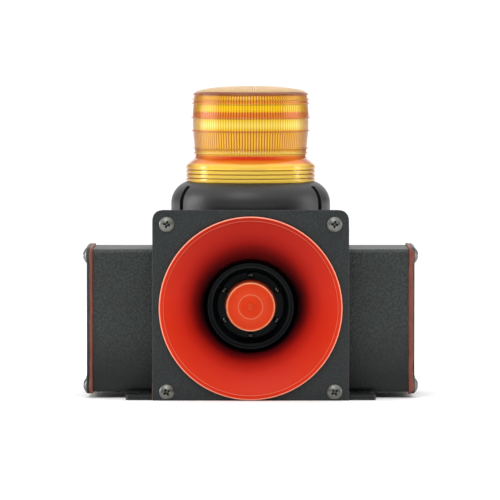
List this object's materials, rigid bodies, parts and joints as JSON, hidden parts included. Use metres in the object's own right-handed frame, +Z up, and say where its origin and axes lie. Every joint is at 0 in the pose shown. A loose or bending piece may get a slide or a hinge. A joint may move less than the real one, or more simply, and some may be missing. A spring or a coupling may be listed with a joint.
{
  "type": "horn strobe",
  "caption": "Electronic siren horn in a cast housing with side wings and slotted feet, with a bayonet amber beacon on top.",
  "frame": {"origin": "Centre of the four foot slots, on the mounting face under the housing.", "axes": "+X to the right seen from the front, along both wings; +Y to the back, so the horn faces -Y; +Z up, towards the beacon."},
  "size_m": [0.2578, 0.1382, 0.239],
  "materials": {
    "housing_paint": "pebbled dark grey-green powder coat",
    "plate_paint": "fine-grained dark powder coat",
    "dark_steel": "dark nickel plated",
    "zinc_steel": "zinc plated",
    "red_silicone": "red-brown silicone",
    "black_rubber": "black",
    "horn_red": "satin red-orange",
    "cap_red": "satin red-orange",
    "black_plastic": "black",
    "beacon_grey": "smooth dark grey",
    "amber_lens": "moulded amber polycarbonate",
    "ferrite": "ground ferrite",
    "phenolic": "brown phenolic film",
    "copper_wire": "enamelled copper",
    "circuit_green": "green solder mask",
    "aluminium": "plain",
    "white_plastic": "white",
    "blue_plastic": "blue",
    "brass": "plain",
    "fuse_glass": "clear",
    "wire_red": "insulation"
  },
  "bodies": {
    "base": {"housing": "housing_paint", "front_plate": "plate_paint", "front_plate_gasket": "red_silicone", "front_plate_screws": "dark_steel", "cover_screws": "dark_steel", "left_cover": "plate_paint", "left_cover_gasket": "red_silicone", "right_cover": "plate_paint", "right_cover_gasket": "red_silicone", "horn_bell": "horn_red", "horn_rim_seal": "black_rubber", "horn_bowl": "black_plastic", "horn_bowl_screws": "dark_steel", "tone_tube": "black_plastic", "reflector_cap": "cap_red", "driver_yoke": "zinc_steel", "driver_magnet": "ferrite", "driver_top_plate": "zinc_steel", "diaphragm_surround": "phenolic", "diaphragm_clamp_ring": "aluminium", "driver_cover": "black_plastic", "driver_bolts": "zinc_steel", "driver_bracket": "zinc_steel", "rear_screws": "dark_steel", "beacon_base": "beacon_grey", "beacon_base_gasket": "black_rubber", "beacon_base_screws": "zinc_steel", "lens_seal": "black_rubber", "strobe_board": "circuit_green", "led_tower": "aluminium", "led_strips": "white_plastic", "siren_board": "circuit_green", "board_standoffs": "brass", "m3_screws": "zinc_steel", "transformer_core": "zinc_steel", "transformer_coil": "copper_wire", "capacitors": "aluminium", "heat_sink": "aluminium", "power_transistors": "black_plastic", "tone_switch_body": "blue_plastic", "volume_trimmer_body": "blue_plastic", "terminal_block": "white_plastic", "terminal_clamp_screws": "brass", "fuse_holder": "black_plastic", "fuse": "fuse_glass", "internal_leads": "wire_red", "gland_body": "black_plastic", "gland_washer": "black_rubber", "gland_locknut": "black_plastic", "gland_seal": "black_rubber", "gland_nut": "black_plastic"},
    "lens": {"beacon_lens": "amber_lens"},
    "diaphragm": {"diaphragm": "phenolic", "voice_coil": "copper_wire"},
    "volume": {"volume_rotor": "white_plastic"},
    "slider_1": {"tone_slider_1": "white_plastic"},
    "slider_2": {"tone_slider_2": "white_plastic"},
    "slider_3": {"tone_slider_3": "white_plastic"},
    "slider_4": {"tone_slider_4": "white_plastic"}
  },
  "joints": [
    {"name": "lens_twist", "type": "hinge", "parent": "base", "child": "lens", "pos_m": [0, 0, 0.17], "axis": [0, 0, 1], "range_deg": [0, 20]},
    {"name": "diaphragm_travel", "type": "slide", "parent": "base", "child": "diaphragm", "axis": [0, 1, 0], "range_m": [-0.0003, 0.0003], "stiffness_N_per_m": 2000},
    {"name": "volume_turn", "type": "hinge", "parent": "base", "child": "volume", "pos_m": [0.0916, 0.015, 0.069], "axis": [1, 0, 0], "range_deg": [-135, 135]},
    {"name": "tone_1_slide", "type": "slide", "parent": "base", "child": "slider_1", "axis": [0, 1, 0], "range_m": [0, 0.0016]},
    {"name": "tone_2_slide", "type": "slide", "parent": "base", "child": "slider_2", "axis": [0, 1, 0], "range_m": [0, 0.0016]},
    {"name": "tone_3_slide", "type": "slide", "parent": "base", "child": "slider_3", "axis": [0, 1, 0], "range_m": [0, 0.0016]},
    {"name": "tone_4_slide", "type": "slide", "parent": "base", "child": "slider_4", "axis": [0, 1, 0], "range_m": [0, 0.0016]}
  ]
}
